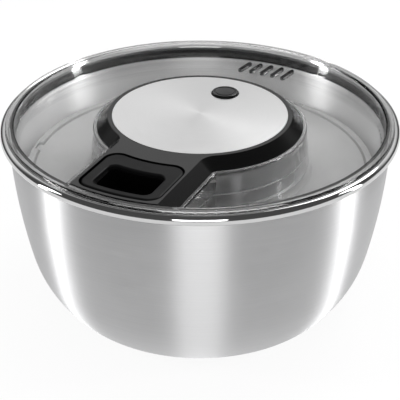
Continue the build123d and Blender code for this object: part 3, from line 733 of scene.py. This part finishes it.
run = np.concatenate([[0], np.cumsum(np.linalg.norm(np.diff(lead, axis=0), axis=1))])
run[stretch_first:stretch_stop] = run[stretch_first - 1] + PULL_LENGTH * share
run[stretch_stop:] = run[stretch_stop - 1] + np.linspace(JOIN_GAP, 2.0, KNOT_STEPS)
cord_points, cord_uv = braided_tube(lead, flat_side, tall_side, CORD_R, run / BRAID, CORD_SIDES)
cord_points, cord_uv = closed_ends(cord_points, cord_uv, lead)
pull_cord = grid_piece("pull_cord", cord_points, cord_braid, None, round_u=True, uv=cord_uv)
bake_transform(pull_cord)
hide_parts("cord_lead")

# Turns on the drum: a helix of even pitch that ends where the cord leaves the drum
wind = np.linspace(0, 1, WIND_STEPS)
wind_end = atan2(drum_leave[1], drum_leave[0])
wind_angle = wind_end + 2 * pi * CORD_TURNS * (1 - wind)
wind_high = CORD_TURNS * CORD_PITCH
wind_z = CORD_TOP - wind_high + wind_high * wind
turns = np.stack([CORD_RING * np.cos(wind_angle), CORD_RING * np.sin(wind_angle), wind_z], axis=-1)
forward = unit(np.gradient(turns, axis=0))
outward = unit(turns * np.array([1.0, 1.0, 0.0]))
upward = np.cross(forward, outward)
wind_run = 2 * pi * CORD_RING * CORD_TURNS * wind
wind_points, wind_uv = braided_tube(turns, outward, upward, CORD_R, wind_run / BRAID, TUBE_SIDES)
wind_points, wind_uv = closed_ends(wind_points, wind_uv, turns)
cord_turns = grid_piece("cord_turns", wind_points, cord_braid, "drum_body", round_u=True, uv=wind_uv)
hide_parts("cord_winding")

# Stop knot: a trefoil, x = sin t + 2 sin 2t, z = cos t - 2 cos 2t and y = -sin 3t, shrunk to the knot's size
t = np.linspace(0, 2 * pi, LOOP_STEPS, endpoint=False)
loop = np.stack([np.sin(t) + 2 * np.sin(2 * t), np.cos(t) - 2 * np.cos(2 * t), -np.sin(3 * t)], axis=-1)
knot_line = loop[:, [0, 2, 1]] * KNOT_SCALE + np.array([0.0, KNOT_Y, EYE_Z])
forward = unit(np.roll(knot_line, -1, axis=0) - np.roll(knot_line, 1, axis=0))
outward = unit(np.cross(forward, np.array([0.13, 1.0, 0.07])))
upward = np.cross(forward, outward)
knot_run = np.concatenate([[0], np.cumsum(np.linalg.norm(np.diff(knot_line, axis=0), axis=1))])
knot_along = np.round(knot_run[-1] / BRAID) * t / (2 * pi)
knot_points, knot_uv = braided_tube(knot_line, outward, upward, KNOT_R, knot_along, TUBE_SIDES)
stop_knot = grid_piece(
    "stop_knot", knot_points, cord_braid, "grip_body", round_u=True, round_v=True, uv=knot_uv
)
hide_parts("cord_knot")

# Coil spring under the button: a helix of round wire
coil_a = np.linspace(0, 2 * pi * COIL_TURNS, COIL_STEPS)
coil_x = BUTTON_AT[0] + COIL_R * np.cos(coil_a)
coil_y = BUTTON_AT[1] + COIL_R * np.sin(coil_a)
coil_line = np.stack([coil_x, coil_y, np.linspace(COIL_LOW, COIL_HIGH, COIL_STEPS)], axis=-1)
forward = unit(np.gradient(coil_line, axis=0))
outward = np.stack([np.cos(coil_a), np.sin(coil_a), np.zeros(COIL_STEPS)], axis=-1)
upward = np.cross(forward, outward)
coil_along = coil_a / (2 * pi)
coil_points, coil_uv = braided_tube(coil_line, outward, upward, COIL_WIRE, coil_along, TUBE_SIDES, swell=0.0)
coil_points, coil_uv = closed_ends(coil_points, coil_uv, coil_line)
press_coil = grid_piece(
    "press_coil", coil_points, spring_steel, "lid_body", round_u=True, uv=coil_uv
)
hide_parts("button_spring")
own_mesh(press_coil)


# Floor and light
FLOOR_HALF = 6.0
FLOOR_GLOW = 0.88
LAMP_AIM = (0, 0, 0.07)


def floor_finish():
    """Pale floor: white to the camera, to metal and to glass, and plain pale board to everything else."""
    m = bpy.data.materials.new("studio_floor")
    m.use_nodes = True
    m.node_tree.nodes.clear()
    g = Graph(m.node_tree)
    out = g.node("ShaderNodeOutputMaterial")
    board = g.node("ShaderNodeBsdfDiffuse")
    board.inputs["Color"].default_value = (0.86, 0.86, 0.86, 1)
    glow = g.node("ShaderNodeEmission")
    path = g.node("ShaderNodeLightPath").outputs
    bent = g.math("MAXIMUM", path["Is Glossy Ray"], path["Is Transmission Ray"])
    seen = g.math("MAXIMUM", path["Is Camera Ray"], bent)
    both = g.node("ShaderNodeMixShader")
    g.put(both.inputs[0], g.math("MULTIPLY", seen, FLOOR_GLOW))
    m.node_tree.links.new(board.outputs[0], both.inputs[1])
    m.node_tree.links.new(glow.outputs[0], both.inputs[2])
    m.node_tree.links.new(both.outputs[0], out.inputs[0])
    return m


floor_mesh = bpy.data.meshes.new("studio_floor")
corners = [(x * FLOOR_HALF, y * FLOOR_HALF, 0) for x, y in ((-1, -1), (1, -1), (1, 1), (-1, 1))]
floor_mesh.from_pydata(corners, [], [(0, 1, 2, 3)])
floor_mesh.materials.append(floor_finish())
floor = bpy.data.objects.new("studio_floor", floor_mesh)
bpy.context.scene.collection.objects.link(floor)

# Room: metal mirrors a dark room with a bright backdrop behind the object, clear plastic shows a lighter one,
# matt faces get an even light, and the camera sees white
ROOM_DARK = 0.088
ROOM_EVEN = 0.67
world = bpy.data.worlds.new("studio")
bpy.context.scene.world = world
world.use_nodes = True
world.node_tree.nodes.clear()
g = Graph(world.node_tree)
out = g.node("ShaderNodeOutputWorld")
sky = g.node("ShaderNodeBackground")
sky.inputs["Color"].default_value = (1, 1, 1, 1)
path = g.node("ShaderNodeLightPath").outputs
way = g.node("ShaderNodeTexCoord").outputs["Generated"]
facing = g.node("ShaderNodeVectorMath", operation="DOT_PRODUCT")
g.put(facing.inputs[0], way)
facing.inputs[1].default_value = tuple(toward)
rise = g.split(way)[2]
behind = g.span(facing.outputs["Value"], -0.35, -0.75)
backdrop = g.math("SUBTRACT", g.span(rise, 0.2, 0.5, 0.064, 0.944), g.span(rise, 0.55, 0.85, 0.0, 0.36))
mirrored = g.blend(behind, ROOM_DARK, backdrop)
clear = g.math("MAXIMUM", mirrored, g.span(facing.outputs["Value"], 1.0, 0.6, 0.24, 0.68))
level = g.blend(path["Is Glossy Ray"], ROOM_EVEN, mirrored)
level = g.blend(path["Is Transmission Ray"], level, clear)
level = g.blend(path["Is Camera Ray"], level, 1.0)
g.put(sky.inputs["Strength"], level)
g.put(out.inputs[0], sky.outputs[0])


def soft_box(name, turn, rise, reach, width, height, power):
    """Rectangular soft lamp that looks at the object's middle: turn and rise in degrees, distance and sides in
    metres, power in watts."""
    data = bpy.data.lights.new(name, "AREA")
    data.shape = "RECTANGLE"
    data.size = width
    data.size_y = height
    data.energy = power
    lamp = bpy.data.objects.new(name, data)
    bpy.context.scene.collection.objects.link(lamp)
    lamp.location = spot(turn, rise, reach)
    aim(lamp, LAMP_AIM)
    return lamp


streak_lamps = [
    soft_box("front_box", 0, 24, 1.6, 0.72, 0.6, 8.2),
    soft_box("left_strip", -86.4, 16, 1.3, 0.143, 0.9, 5.8),
    soft_box("right_strip", 86.4, 16, 1.3, 0.143, 0.9, 5.8),
]
fill_lamps = [
    soft_box("front_fill", 0, 28, 1.6, 2.0, 1.0, 3.4),
    soft_box("left_fill", -100, 25, 1.6, 1.6, 1.0, 2.3),
    soft_box("right_fill", 100, 25, 1.6, 1.6, 1.0, 2.3),
]


def tie(name, pieces, lamps, state):
    """Ties lamps to pieces: INCLUDE lights these pieces alone, EXCLUDE lights all pieces but these."""
    group = bpy.data.collections.new(name)
    for piece in pieces:
        group.objects.link(piece)
    for entry in group.collection_objects:
        entry.light_linking.link_state = state
    for lamp in lamps:
        lamp.light_linking.receiver_collection = group


# Flat tops would mirror the bowl's streak lamps, so the disc and the lid have softer lamps of their own
flat_top = [nodes[name] for name in ("cover_disc", "top_cover", "grip_frame", "grip_pocket", "grip_well")]
tie("without_front", flat_top + [button_cap, nodes["lid"]], streak_lamps[:1], "EXCLUDE")
tie("without_strips", flat_top + [button_cap], streak_lamps[1:], "EXCLUDE")
tie("with_fill", [nodes["cover_disc"]], fill_lamps, "INCLUDE")
lid_box = soft_box("lid_box", 0, 24, 1.6, 0.72, 0.6, 2.0)
tie("with_lid_box", [nodes["lid"]], [lid_box], "INCLUDE")
top_box = soft_box("top_box", 180, 78, 1.6, 1.2, 0.9, 5)
top_box.visible_glossy = False
soft_box("rear_box", 140, 48, 1.6, 0.8, 0.6, 6)
